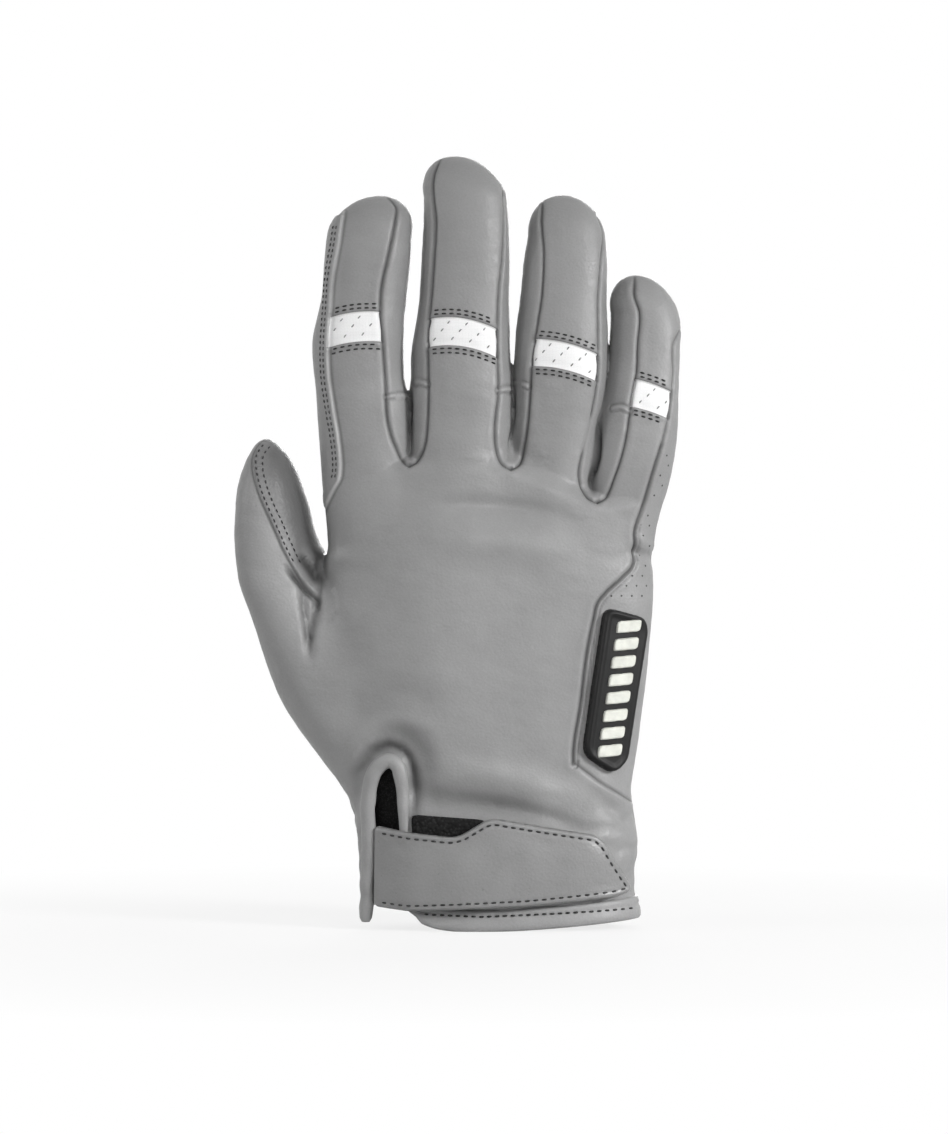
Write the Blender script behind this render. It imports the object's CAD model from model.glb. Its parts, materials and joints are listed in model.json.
"""Racing glove: skin, flex bands, stitching, badge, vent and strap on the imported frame."""

import json
import math

import bpy
import numpy as np
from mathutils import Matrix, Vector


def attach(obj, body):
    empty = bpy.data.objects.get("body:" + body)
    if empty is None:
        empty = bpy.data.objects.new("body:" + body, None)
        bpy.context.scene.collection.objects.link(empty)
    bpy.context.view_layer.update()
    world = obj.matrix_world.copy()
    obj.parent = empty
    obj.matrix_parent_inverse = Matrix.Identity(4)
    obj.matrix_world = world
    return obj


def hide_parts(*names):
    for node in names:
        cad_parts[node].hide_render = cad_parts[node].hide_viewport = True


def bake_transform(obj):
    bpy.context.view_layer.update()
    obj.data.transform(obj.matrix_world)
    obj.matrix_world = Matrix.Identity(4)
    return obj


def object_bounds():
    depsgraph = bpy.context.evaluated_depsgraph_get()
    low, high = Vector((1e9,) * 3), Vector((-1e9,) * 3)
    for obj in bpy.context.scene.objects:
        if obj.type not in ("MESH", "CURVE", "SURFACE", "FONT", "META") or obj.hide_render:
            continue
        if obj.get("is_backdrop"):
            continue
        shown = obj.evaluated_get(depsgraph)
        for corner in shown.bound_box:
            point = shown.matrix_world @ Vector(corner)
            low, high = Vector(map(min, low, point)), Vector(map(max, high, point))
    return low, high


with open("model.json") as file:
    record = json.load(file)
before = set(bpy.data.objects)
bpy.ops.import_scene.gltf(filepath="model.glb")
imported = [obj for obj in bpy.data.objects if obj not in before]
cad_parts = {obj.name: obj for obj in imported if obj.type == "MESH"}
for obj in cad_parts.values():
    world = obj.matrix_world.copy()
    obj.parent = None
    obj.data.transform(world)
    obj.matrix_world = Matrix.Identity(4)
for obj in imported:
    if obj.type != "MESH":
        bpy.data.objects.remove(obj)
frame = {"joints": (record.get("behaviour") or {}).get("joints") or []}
cad_low, cad_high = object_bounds()
JOINTS = {joint["name"]: np.array(joint["pos_m"]) for joint in frame["joints"]}

# Drawing frame, in millimetres: x across from the middle finger, y from the middle of
# the hand toward the palm, z up from the cuff. SHIFT takes it to the row frame.
SHIFT = JOINTS["index_knuckle"] * 1000 - (-29.2, 0, 150)
NAMES = ("index", "middle", "ring", "little")

# Each finger: height, thumb-side edge and little-finger edge; the top of its tip and
# where the rounding starts; its two back seams from the tip down; its flex band as
# centre, top, bottom, slope and arch; how far the knuckle fold and the joint fold spread,
# and how far above the knuckle the skin changes from one to the other.
FINGERS = {
    "index": {
        "edges": [
            (112, -40, -17), (130, -41.4, -15.8), (143, -42.1, -15), (152, -42.9, -15), (160, -43.5, -15.2),
            (165, -43.8, -15.7), (169, -44.2, -16.9), (174, -44.8, -17.2), (182, -45.1, -17.3),
            (189, -43.9, -17.1), (196.8, -42.3, -16.2), (204, -41.7, -15.5), (211, -41, -15),
            (216, -40.4, -14.9),
        ],
        "tip": (-25, 227.8), "dome": 216,
        "left": [
            (-36.1, 220.7), (-37, 213.6), (-39.5, 197.4), (-39.8, 191.5), (-40.1, 170), (-38.9, 161.7),
            (-36.7, 148), (-36.4, 143.6), (-37, 138.7), (-38.6, 136), (-41, 131.4), (-43, 127.6),
        ],
        "right": [
            (-22.1, 227), (-19.3, 223.2), (-19.6, 219.8), (-22.1, 207), (-23.9, 198.7), (-24.3, 191.5),
            (-23.3, 180.3), (-22.5, 168.2), (-22.1, 158), (-20.6, 151.4), (-19.3, 148.3), (-18.1, 145.3),
            (-16.9, 143.6), (-15.1, 142.9),
        ],
        "band": (-31.7, 190.7, 181.4, 0.1, 0.012), "fold": (12, 10, 17),
    },
    "middle": {
        "edges": [
            (112, -13, 14), (130, -14.8, 15.8), (145, -15.4, 16.6), (160, -15.6, 16.8), (165, -15.5, 16.8),
            (170, -14.9, 16.8), (176, -14.9, 16.2), (180, -14.6, 16), (185.6, -13.7, 15.8),
            (193, -12.7, 15.5), (204, -11.8, 15.5), (212, -11.3, 15.6), (219, -10.9, 15.5),
            (227, -10.9, 14.9),
        ],
        "tip": (-1.2, 240), "dome": 227,
        "left": [
            (-5.6, 238.8), (-7.2, 235.7), (-7.2, 217.3), (-8.1, 202.1), (-9, 191.8), (-9.6, 185),
            (-9.6, 172), (-9.6, 163), (-9.9, 154.5), (-10.2, 150.4), (-10.9, 147.4), (-12.1, 145.1),
            (-13.5, 143.5), (-15.1, 142.9),
        ],
        "right": [
            (13.7, 230), (14, 222.3), (13.4, 207), (12.4, 195.9), (12.1, 187.5), (12.2, 176), (12.1, 164),
            (11.2, 157), (11, 152.4), (11.4, 148.3), (12.3, 145.2), (13.6, 143.3), (16, 142.4),
        ],
        "band": (1.5, 188.7, 179.9, -0.16, 0.016), "fold": (12, 10, 16.5),
    },
    "ring": {
        "edges": [
            (112, 18, 41), (130, 16.6, 40.9), (142, 16.3, 41.1), (150, 16.3, 42.1), (157, 16.3, 43.5),
            (164, 16.4, 45.1), (170, 16.6, 46), (176, 17, 46.2), (185.6, 17.7, 46.2), (193, 18.7, 45.8),
            (200, 19.6, 46), (208, 20.4, 46), (215, 21.5, 45.4),
        ],
        "tip": (32.3, 227.7), "dome": 215,
        "left": [
            (26.1, 226), (25.5, 219.8), (26.1, 209.9), (25.5, 195.9), (23.9, 185.6), (22.7, 178),
            (21.8, 164), (21.3, 157.6), (20.6, 151.8), (19.9, 148.3), (19.2, 145.2), (18.2, 143.3),
            (16, 142.4),
        ],
        "right": [
            (42.9, 221.7), (44.5, 217.3), (44.1, 207), (43.2, 193), (43.2, 180.6), (43, 171), (40.4, 156),
            (38.1, 146.4), (37.1, 140), (37.5, 137.4), (38.5, 135.1), (40.1, 133.1), (42.4, 132.2),
        ],
        "band": (32.8, 181.2, 172.7, -0.24, 0.012), "fold": (11.5, 10, 15),
    },
    "little": {
        "edges": [
            (105, 42, 60), (125, 40.5, 61), (135, 40.4, 64.5), (142, 40.7, 66.2), (150, 41.7, 67.4),
            (157, 43, 68), (164, 44.6, 68.2), (170, 45.6, 68.4), (176, 46.5, 68.7), (182, 46.9, 68.9),
            (186, 47.3, 69), (191, 47.5, 68.2),
        ],
        "tip": (55.3, 202.7), "dome": 191,
        "left": [
            (54.7, 201.8), (54.1, 197.1), (55.7, 190.6), (55, 180.6), (54.7, 172.2), (53.2, 164),
            (52.4, 158.4), (51.7, 153.3), (49.4, 143.8), (47.6, 138.8), (46.6, 136), (45.5, 133.8),
            (44.2, 132.6), (42.4, 132.2),
        ],
        "right": [
            (69.5, 192), (68.7, 185.6), (66.8, 181.3), (66.5, 171.6), (65.6, 163), (63.7, 153),
            (59.7, 140.2), (56.6, 130), (54.2, 122.2), (54.4, 116.9), (53.6, 112.2), (50.4, 108.7),
            (45.4, 104.2), (42.6, 100.7), (41.4, 95.8), (39.2, 84.6), (37.6, 71.2), (35.1, 53.8),
            (35.1, 51.3),
        ],
        "band": (59.6, 168.7, 159.8, -0.34, 0.012), "fold": (9.5, 9.5, 12),
    },
}
# Hand and thumb: height, two edges and full depth.
HAND = [
    (-10, -29.7, 55, 37), (2, -29.9, 55.2, 37), (6.5, -30.1, 55.6, 36.9), (14, -30.4, 54.1, 36.5),
    (19, -30.8, 54.6, 36.3), (25, -31.3, 55.5, 36), (32.6, -32.4, 54.7, 35.8), (38, -33.6, 53.8, 35.6),
    (43.8, -35.6, 53.5, 35.5), (51, -38, 54.7, 35.5), (62.5, -40.3, 56.3, 35.5), (74, -41.4, 57.8, 35.3),
    (85, -42, 58.8, 35), (96, -42, 59.7, 34), (107, -41, 60.3, 33), (111, -40.7, 60.2, 32.3),
    (114.7, -41.4, 59.5, 31.6), (118, -41, 59.8, 31), (122, -41.1, 60.6, 30), (130, -41.5, 62.3, 28),
    (137, -41.7, 64.8, 26.6), (144, -42.1, 66.6, 25.3), (156, -42.5, 68, 24),
]
THUMB = [
    (30, -31, -10, 11), (38, -33.4, -12, 15), (47.6, -40.4, -15.5, 22), (55, -45.6, -18, 27),
    (62.5, -50.6, -21, 28.4), (70, -55.3, -24, 29), (77.5, -58.5, -27.6, 29.2), (85, -61, -31, 29),
    (92.5, -63.5, -34.4, 28.6), (100, -66.2, -37.8, 28), (107, -68.4, -40, 27.4), (112, -69.1, -40.6, 27),
    (116, -69.5, -41.6, 26.6), (119, -69.7, -43.8, 26.4), (123, -69.8, -45.4, 26.1), (130, -69.5, -47, 25.7),
    (152, -67.2, -50.4, 23.5),
]
# The gap between thumb and hand: height, across.
THUMB_GAP = [
    (98, -43), (114, -42.2), (118, -42.2), (124, -43), (130, -44), (137, -45), (145, -47), (152, -50),
]
THUMB_MIDDLE = 5
# How square a section is, a finger's depth as a share of its width, how far its tip curls
# toward the palm, and the length over which its root closes.
FULLNESS, DEPTH_SHARE, CURL, FINGER_ROOT = 2.35, 0.82, 4, 18
# Where the hand closes between the fingers: across, height. It closes over CLOSE.
CROTCH = [
    (-46, 141), (-30, 145), (-15, 147.2), (1, 147), (16.5, 146.4), (30, 141.5), (42, 136.6), (56, 138),
    (70, 138),
]
CLOSE = 8
# The cuff's edge on the back: across, height. The skin is cut RIM_CUT above it. On the
# thumb side of the palm the edge is at PALM_RIM.
RIM = [
    (-40, 5.4), (-16, 5.2), (-13.6, 3.4), (-11.2, 2.1), (-7, 0.7), (-3, 0.1), (14, 0), (30, 0.9), (56, 3.1),
]
RIM_CUT, PALM_RIM = 1.2, 6.2
SIDE_FOOT = [(33, 53.2), (35.8, 51.3), (43.2, 45.7), (51.3, 40.7), (60, 34.5)]
VENT = [
    (-27.4, -6), (-27.5, 4), (-27.4, 14), (-27.2, 26), (-27.5, 39.5), (-26.9, 45.7), (-25.4, 49.7),
    (-23.4, 51.8), (-21.1, 52.4), (-19.1, 51), (-18.1, 47.5), (-17.5, 42), (-17.2, 34), (-17.1, 26),
    (-16.9, 16), (-15.6, 4), (-15, -6),
]
THUMB_PATCH = [
    (-59, 153), (-62.2, 149.4), (-63.5, 146.6), (-63.6, 142), (-62.6, 137.2), (-61.2, 133), (-58.9, 127.7),
    (-56.5, 122.2), (-54.1, 116.7), (-51.4, 111.9), (-49.3, 108.7), (-46.2, 104.8), (-43, 101.4),
]
STRAP = [
    (-25.4, 32.4), (-15.2, 30.6), (-1.9, 29.2), (0.9, 29.8), (8.1, 34.2), (10.9, 34.8), (41, 29.5),
    (43.8, 27), (50.4, 14.3), (50.7, 11.2), (46, 9.9), (21.1, 7.8), (-14.6, 6.2), (-25.4, 7.2),
]
BADGE = [(44.4, 99.8), (56.2, 96.6), (57.2, 92.7), (51, 52), (46.9, 48), (37.6, 54.2)]
LOOP_PATCH = [(-14.6, 35.8), (7.6, 34.3), (12, 31.6), (40, 26.6), (44, 12), (-14.6, 9)]
HOOK_PATCH = [(2, 27.4), (43, 26.4), (45.6, 14), (2, 11)]
VENT_GUSSET = [(-28, 9), (-29, 40), (-25.6, 49), (-21.6, 51), (-18, 49), (-15.6, 40), (-15.6, 9)]
# Heights at which the index finger's side strip ends, and how far strips reach round
# to the palm.
STRIP_TOP, STRIP_FOOT, WRAP = 220.7, 131.8, 4.4
# Heights: the foot of the thumb's moving end, of its patch, and of the lines that part the
# fingers.
THUMB_CUT, PATCH_FOOT, SECTOR_FOOT = 110.5, 100, 118.0
# A distance beyond all that matter, and how far a seam's form reaches.
FAR, SEAM_REACH = 99.0, 7.0


def spline(at, knots, values):
    """Smooth curve through the knots, flat beyond both ends."""
    knots, values = np.asarray(knots, float), np.asarray(values, float)
    slope = np.gradient(values, knots)
    i = np.clip(np.searchsorted(knots, at) - 1, 0, len(knots) - 2)
    gap = knots[i + 1] - knots[i]
    t = np.clip((at - knots[i]) / gap, 0, 1)
    return (
        (1 + 2 * t) * (1 - t) ** 2 * values[i] + t * (1 - t) ** 2 * gap * slope[i]
        + t * t * (3 - 2 * t) * values[i + 1] + t * t * (t - 1) * gap * slope[i + 1]
    )


def ramp(value, low, high):
    """Smooth step from 0 at low to 1 at high."""
    t = np.clip((value - low) / (high - low), 0, 1)
    return t * t * (3 - 2 * t)


def bell(value, width):
    """1 at zero, falling off smoothly over the width."""
    return np.exp(-((value / width) ** 2))


def unit(v):
    return v / np.linalg.norm(v, axis=-1, keepdims=True)


def run_of(line):
    """Distance along a line, at each of its points."""
    return np.r_[0, np.cumsum(np.linalg.norm(np.diff(line, axis=0), axis=1))]


def walk(line, at, curve=np.interp):
    """Points of a line, at distances along it."""
    return np.column_stack([curve(at, run_of(line), axis) for axis in line.T])


def dense(points, step=1.0, curve=spline):
    """A line through the points, as many short even pieces."""
    points = np.asarray(points, float)
    length = run_of(points)[-1]
    return walk(points, np.linspace(0, length, max(2, int(length / step) + 1)), curve)


def offset(line, distance):
    """A line beside another, to the left of its run where the distance is positive."""
    way = unit(np.gradient(line, axis=0))
    return line + np.column_stack([-way[:, 1], way[:, 0]]) * distance


def rounded(outline, radius):
    """A closed outline with its corners rounded off."""
    outline = np.asarray(outline, float)
    out = []
    for k, corner in enumerate(outline):
        sides = outline[k - 1] - corner, outline[(k + 1) % len(outline)] - corner
        reach = min(radius, *(0.45 * np.linalg.norm(side) for side in sides))
        a, b = (corner + unit(side) * reach for side in sides)
        for t in np.linspace(0, 1, 5):
            out.append((1 - t) ** 2 * a + 2 * t * (1 - t) * corner + t * t * b)
    return np.array(out)


STATIONS = np.arange(-20.0, 262.0, 0.25)


class Limb:
    """A finger, thumb or hand as rounded sections up its height. The root is where its
    lower end starts to close, and over what length."""

    def __init__(self, rows, deep, middle, tip=None, dome=None, root=None, tilt=0):
        self.left, self.right = (spline(STATIONS, rows[:, 0], rows[:, k]) for k in (1, 2))
        self.dome, self.root = dome, root
        if tip:
            self.rise = tip[1] - dome
            at = np.searchsorted(STATIONS, dome)
            lean = tip[0] - (self.left[at] + self.right[at]) / 2
            shift = lean * np.clip((STATIONS - dome) / self.rise, 0, 1)
            self.left, self.right = self.left + shift, self.right + shift
        self.deep = (self.right - self.left) / 2 * DEPTH_SHARE if deep is None else deep
        self.middle, self.tilt = middle + 0 * STATIONS, tilt + 0 * STATIONS

    def at(self, z):
        return [np.interp(z, STATIONS, a) for a in (self.left, self.right, self.deep, self.middle)]

    def plane(self, x, z):
        """Depth of the limb's middle, which may lean across its width."""
        left, right, _, middle = self.at(z)
        return middle + np.interp(z, STATIONS, self.tilt) * (x - (left + right) / 2)

    def field(self, x, y, z, top=None):
        """Signed distance, near enough: negative inside."""
        left, right, deep, _ = self.at(z)
        middle = self.plane(x, z)
        half, across = (right - left) / 2, x - (left + right) / 2
        u, v = np.abs(across) / half, np.abs(y - middle) / deep
        square = (u**FULLNESS + v**FULLNESS) ** (2 / FULLNESS)
        size = across**2 + (y - middle) ** 2
        ends = []
        if top is not None:
            ends.append((np.clip((z - top + CLOSE) / CLOSE, 0, None), CLOSE))
        elif self.dome is not None:
            ends.append((np.clip((z - self.dome) / self.rise, 0, None), self.rise))
        if self.root is not None:
            ends.append((np.clip((self.root[0] - z) / self.root[1], 0, None), self.root[1]))
        for share, length in ends:
            square = square + share**2
            size = size + (share * length) ** 2
        return np.sqrt(size) * (1 - 1 / np.sqrt(np.maximum(square, 1e-6)))


def hinge(name):
    return JOINTS[name] * 1000 - SHIFT


def finger_limb(name):
    finger, knuckle = FINGERS[name], hinge(name + "_knuckle")[2]
    rows = np.array(finger["edges"], float)
    curl = CURL * (np.clip(STATIONS - knuckle, 0, None) / (finger["tip"][1] - knuckle)) ** 2
    return Limb(rows, None, curl, finger["tip"], finger["dome"], (rows[0, 0] + FINGER_ROOT, FINGER_ROOT))


def deep_limb(rows, inset, middle, *ends):
    """A limb from rows that have depths, or its inside at that inset."""
    rows = np.array(rows) + (0, inset, -inset, -2 * inset)
    return Limb(rows, spline(STATIONS, rows[:, 0], rows[:, 3] / 2), middle, *ends)


LIMBS = {name: finger_limb(name) for name in NAMES}
LINING_INSET = 4.2
# The thumb's root and lean across its width, and its tip and dome for the skin and the lining.
THUMB_ROOT, THUMB_LEAN = (62, 24), 0.38 * ramp(STATIONS, 70, 112)
THUMB_ENDS = ((0, (-59.4, 151.9), 130), (LINING_INSET, (-54, 105), 88))
hand, inner_hand = (deep_limb(HAND, inset, 0) for inset in (0, LINING_INSET))
thumb, inner_thumb = (
    deep_limb(THUMB, inset, THUMB_MIDDLE, tip, dome, THUMB_ROOT, THUMB_LEAN) for inset, tip, dome in THUMB_ENDS
)
ACROSS = np.arange(-90.0, 90.0, 0.5)
CLOSING = spline(ACROSS, *np.array(CROTCH).T)
# How softly limbs join: places up or across, and the widths there.
FINGER_SOFT = (152, 166), (3.0, 0.5)
ROOT_SOFT = (-42, -33, 53, 65), (0.5, 5.0, 5.0, 0.5)
THUMB_SOFT = (98, 113, 120), (9.0, 6.0, 1.0)
LINING_SOFT, LINING_TOP = 6.0, 120.0


def join(a, b, soft):
    """The nearer of two fields, rounded together over the soft width."""
    share = np.maximum(soft - np.abs(a - b), 0) / soft
    return np.minimum(a, b) - share**2 * soft / 4


def skin_field(x, y, z):
    fingers = None
    for limb in LIMBS.values():
        one = limb.field(x, y, z)
        fingers = one if fingers is None else join(fingers, one, np.interp(z, *FINGER_SOFT))
    body = hand.field(x, y, z, np.interp(x, ACROSS, CLOSING))
    body = join(body, fingers, np.interp(x, *ROOT_SOFT))
    return join(body, thumb.field(x, y, z), np.interp(z, *THUMB_SOFT))


def inner_field(x, y, z):
    """The lining, just inside the hand and thumb, closed below the moving joints."""
    return join(inner_hand.field(x, y, z, LINING_TOP), inner_thumb.field(x, y, z), LINING_SOFT)


def gradient(field, p, step=0.05):
    return np.column_stack([
        (field(*(p + shift).T) - field(*(p - shift).T)) / (2 * step) for shift in np.eye(3) * step
    ])


def settle(field, p, rounds):
    """Moves points onto the surface, and returns them with their normals."""
    for _ in range(rounds):
        slope = gradient(field, p)
        p = p - slope * (field(*p.T) / np.maximum((slope**2).sum(1), 0.05))[:, None]
    return p, unit(gradient(field, p))


def block(array, start, size):
    return array[tuple(slice(a, a + n) for a, n in zip(start, size))]


def surface(field, low, high, pitch):
    """A net of even four-sided faces where the field is zero."""
    values = field(*np.ix_(*(np.arange(a, b + pitch, pitch) for a, b in zip(low, high))))
    inside, shape = values < 0, np.array(values.shape) - 1
    corners, ways = list(np.ndindex(2, 2, 2)), np.eye(3, dtype=int)
    total = sum(block(inside, c, shape).astype(np.int8) for c in corners)
    cells = np.argwhere((total > 0) & (total < 8))
    at = {c: values[tuple((cells + c).T)] for c in corners}
    place, count = np.zeros((len(cells), 3)), np.zeros(len(cells))
    for a in corners:
        for way in ways:
            b = tuple(way + a)
            if b in at:
                cross = (at[a] < 0) != (at[b] < 0)
                t = np.where(cross, at[a] / np.where(cross, at[a] - at[b], 1), 0)
                place += (a + way * t[:, None]) * cross[:, None]
                count += cross
    index = np.full(shape, -1)
    index[tuple(cells.T)] = np.arange(len(cells))
    quads = []
    for k in range(3):
        one, m, n = np.roll(ways, -k, axis=0)
        size = np.array(values.shape) - one
        first, second = block(inside, (0, 0, 0), size), block(inside, one, size)
        edges = np.argwhere(first != second)
        edges = edges[((edges - m - n) >= 0).all(1) & (edges < shape).all(1)]
        ring = np.stack([index[tuple((edges - s).T)] for s in (m + n, n, 0 * m, m)], axis=1)
        quads.append(np.where(first[tuple(edges.T)][:, None], ring, ring[:, ::-1]))
    return (cells + place / count[:, None]) * pitch + np.array(low), np.vstack(quads)


def triangles(points, quads):
    """Splits each face along its shorter diagonal."""
    a, b, c, d = quads.T
    one = np.linalg.norm(points[a] - points[c], axis=1) <= np.linalg.norm(points[b] - points[d], axis=1)
    return np.hstack([np.where(one, (a, b, c), (a, b, d)), np.where(one, (a, c, d), (b, c, d))]).T


# What a triangle becomes when none to all of its edges are split: 0 to 2 are its corners,
# 3 to 5 the new points on the edges after them.
SPLITS = (
    [(0, 1, 2)], [(0, 3, 2), (3, 1, 2)], [(3, 1, 4), (0, 3, 4), (0, 4, 2)],
    [(0, 3, 5), (3, 1, 4), (5, 4, 2), (3, 4, 5)],
)


def split(points, tris, edge_share):
    """Splits triangles at marked edges. edge_share takes edge ends and gives the share
    along each edge where it is split, or NaN where it stays whole."""
    ends = np.sort(tris[:, [[0, 1], [1, 2], [2, 0]]].reshape(-1, 2), axis=1)
    key, where = np.unique(ends[:, 0] * np.int64(len(points)) + ends[:, 1], return_inverse=True)
    a, b = key // len(points), key % len(points)
    share = edge_share(a, b)
    marked = ~np.isnan(share)
    fresh = points[a[marked]] + (points[b[marked]] - points[a[marked]]) * share[marked][:, None]
    number = np.full(len(key), -1)
    number[marked] = len(points) + np.arange(marked.sum())
    middle = number[where.reshape(-1, 3)]
    cut = middle >= 0
    out = []
    for n, pattern in enumerate(SPLITS):
        rows = np.flatnonzero(cut.sum(1) == n)
        first = cut[rows].argmax(1) if n == 1 else (n == 2) * ((~cut[rows]).argmax(1) + 1) % 3
        order = (first[:, None] + np.arange(3)) % 3
        six = np.hstack([np.take_along_axis(array[rows], order, 1) for array in (tris, middle)])
        out += [six[:, corners] for corners in pattern]
    return np.vstack([points, fresh]), np.vstack(out)


def cut_along(points, tris, value):
    """Splits triangles where the value changes sign, so that its zero runs along edges."""
    value = np.where(np.abs(value) < 1e-4, 1e-4, value)
    sign = value[tris] > 0
    mixed = sign.any(1) & ~sign.all(1)
    if not mixed.any():
        return points, tris

    def share(a, b):
        cross = (value[a] > 0) != (value[b] > 0)
        return np.where(cross, value[a] / np.where(cross, value[a] - value[b], 1), np.nan)

    fresh, cut = split(points, tris[mixed], share)
    return fresh, np.vstack([tris[~mixed], cut])


def used_only(tris, *arrays):
    """Triangles renumbered to the points that they use, and the arrays at those points."""
    used, local = np.unique(tris, return_inverse=True)
    return local.reshape(-1, 3), *(array[used] for array in arrays)


def gap_to(points, line, reach=8.0, stretch=None):
    """Distance from points (across, height) to a line, and the way along it."""
    best, along = np.full(len(points), FAR), np.zeros(len(points))
    low, high = line.min(0) - reach, line.max(0) + reach
    near = np.flatnonzero(((points >= low) & (points <= high)).all(1))
    q = points[near]
    scale = 1.0 if stretch is None else stretch[near]
    small, place = best[near], along[near]
    run = run_of(line)
    for k, (a, b) in enumerate(zip(line[:-1], line[1:])):
        d = b - a
        t = np.clip(((q - a) @ d) / max(d @ d, 1e-9), 0, 1)
        off = q - a - t[:, None] * d
        gap = np.hypot(off[:, 0] * scale, off[:, 1])
        closer = gap < small
        small = np.where(closer, gap, small)
        place = np.where(closer, run[k] + t * (run[k + 1] - run[k]), place)
    best[near], along[near] = small, place
    return best, along


def inside_of(points, outline):
    """Signed distance to a closed outline, positive inside."""
    gap, _ = gap_to(points, np.vstack([outline, outline[:1]]), 400.0)
    odd = np.zeros(len(points), bool)
    x, z = points.T
    for (ax, az), (bx, bz) in zip(outline, np.roll(outline, -1, axis=0)):
        if az != bz:
            odd ^= ((az > z) != (bz > z)) & (x < ax + (z - az) / (bz - az) * (bx - ax))
    return np.where(odd, gap, -gap)


def waves(p, length, seed, count=26):
    """Smooth seeded noise with bumps of about that length, mostly within -1 to 1."""
    rng = np.random.default_rng(seed)
    way = unit(rng.normal(size=(count, 3)))
    pitch = 2 * math.pi / (length * rng.uniform(0.7, 1.6, count))
    phase = rng.uniform(0, 2 * math.pi, count)
    return sum(np.cos(p @ (w * k) + f) for w, k, f in zip(way, pitch, phase)) / math.sqrt(count)


LINES = {"index_left": dense(FINGERS["index"]["left"]), "little_right": dense(FINGERS["little"]["right"])}
GUSSETS = {"index": "middle", "middle": "ring", "ring": "little"}
for a, b in GUSSETS.items():
    whole = dense(FINGERS[a]["right"] + FINGERS[b]["left"][-2::-1], 0.8)
    foot = whole[:, 1].argmin()
    LINES[a + "_right"], LINES[b + "_left"] = whole[: foot + 1], whole[foot:][::-1]
LINES["side_foot"] = dense(SIDE_FOOT[1:])
LINES["thumb_patch"] = dense(THUMB_PATCH)
VENT_LINE = dense(VENT, 0.6)


def seam_at(name, side, z):
    """Where a back seam lies across, at each height."""
    line = LINES[f"{name}_{side}"][::-1]
    return np.interp(z, line[:, 1], line[:, 0])


def gap_at(z):
    return np.interp(z, *np.array(THUMB_GAP).T)


def middle_plane(x, z):
    """Depth of the line between the back and the palm."""
    curl = np.zeros(np.broadcast(x, z).shape)
    for name in NAMES:
        left, right, _, middle = LIMBS[name].at(z)
        curl = np.where((x > left - 4) & (x < right + 4) & (z > 140), middle, curl)
    beyond = (gap_at(z) - x) / np.interp(z, (100, 114), (4, 0.6))
    return np.where(z < 160, thumb.plane(x, z) * ramp(beyond, -1, 1) * ramp(z, 45, 75), 0) + curl


def divide_at(left_name, right_name, z):
    """The line between two neighbouring fingers, clear of the longer one at its tip."""
    left, right = LIMBS[left_name].at(z)[1], LIMBS[right_name].at(z)[0]
    tips = [FINGERS[name]["tip"][1] for name in (left_name, right_name)]
    middle = (left + right) / 2
    clear = np.maximum(middle, left + 1) if tips[0] > tips[1] else np.minimum(middle, right - 1)
    return np.where(z > min(tips) - 12, clear, middle)


def finger_run(name, p):
    """Distance up the finger from its knuckle, along its own axis."""
    knuckle = hinge(name + "_knuckle")
    return (p - knuckle) @ unit(hinge(name + "_middle_joint") - knuckle)


def band_edges(name, x):
    centre, top, bottom, slope, arch = FINGERS[name]["band"]
    bend = slope * (x - centre) - arch * (x - centre) ** 2
    return top + bend, bottom + bend


def above_rim(p):
    """Height above the cut at the cuff's edge, which is rounded beside the vent and
    higher on the thumb side of the palm."""
    return p[..., 2] - rim_height(p[..., 0], p[..., 1]) - RIM_CUT


def rim_height(x, y):
    back = spline(x, *np.array(RIM).T)
    palm = PALM_RIM * ramp(-x, -6, 10) + back * ramp(x, 14, 40)
    return palm + (back - palm) * ramp(-y, -4, 8)


def fields(p):
    """The values whose zero lines part the skin into its panels. Plain numbers stand for
    well inside a panel or well outside."""
    x, y, z = p.T
    plane = middle_plane(x, z)
    back = y < plane
    out = {"back": plane - y}
    for a, b in GUSSETS.items():
        foot = LINES[a + "_right"][-1, 1]
        front = np.minimum(x - seam_at(a, "right", z), seam_at(b, "left", z) - x)
        rear = np.minimum(x - LIMBS[a].at(z)[1], LIMBS[b].at(z)[0] - x) + WRAP
        out["gusset_" + a] = np.where(back, np.minimum(front, z - foot), np.minimum(rear, z - foot + 2))
        out["divide_" + a] = x - divide_at(a, b, np.maximum(z, SECTOR_FOOT)) - 0.5 * (z <= SECTOR_FOOT)
    front = np.minimum(seam_at("index", "left", z) - x, STRIP_TOP - z)
    strip = np.where(back, front, LIMBS["index"].at(z)[0] + WRAP - x)
    out["strip"] = np.minimum(np.where(z > STRIP_FOOT, strip, -5.0), z - STRIP_FOOT)
    right = np.where(z > 146, LIMBS["little"].at(z)[1], hand.at(z)[1])
    side = np.where(back, x - seam_at("little", "right", z), x - right + 3)
    side = np.minimum(side, z - np.interp(x, *np.array(SIDE_FOOT).T))
    out["side"] = np.minimum(side, np.where(x > 30, 9.0, -9.0))
    for name in NAMES:
        top, bottom = band_edges(name, x)
        knuckle, _, change = FINGERS[name]["fold"]
        run = finger_run(name, p)
        out["band_" + name] = np.where(back, np.minimum(top - z, z - bottom), -1.0)
        out["root_" + name], out["change_" + name] = run + knuckle, run - change
    out["thumb"] = np.minimum(z - THUMB_CUT, gap_at(z) - x)
    out["patch"] = np.where(back & (z > PATCH_FOOT), x - seam_at("thumb", "patch", z), -1.0)
    out["vent"] = np.where(back & (x < 0) & (z < 60), -inside_of(p[:, [0, 2]], VENT_LINE), 9.0)
    out["rim"] = above_rim(p)
    return out


def stretch_of(normals):
    """How much longer the skin is across than it looks from the front."""
    return 1 / np.clip(np.abs(normals[:, 1]) / np.hypot(normals[:, 0], normals[:, 1] + 1e-9), 0.35, 1)


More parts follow.
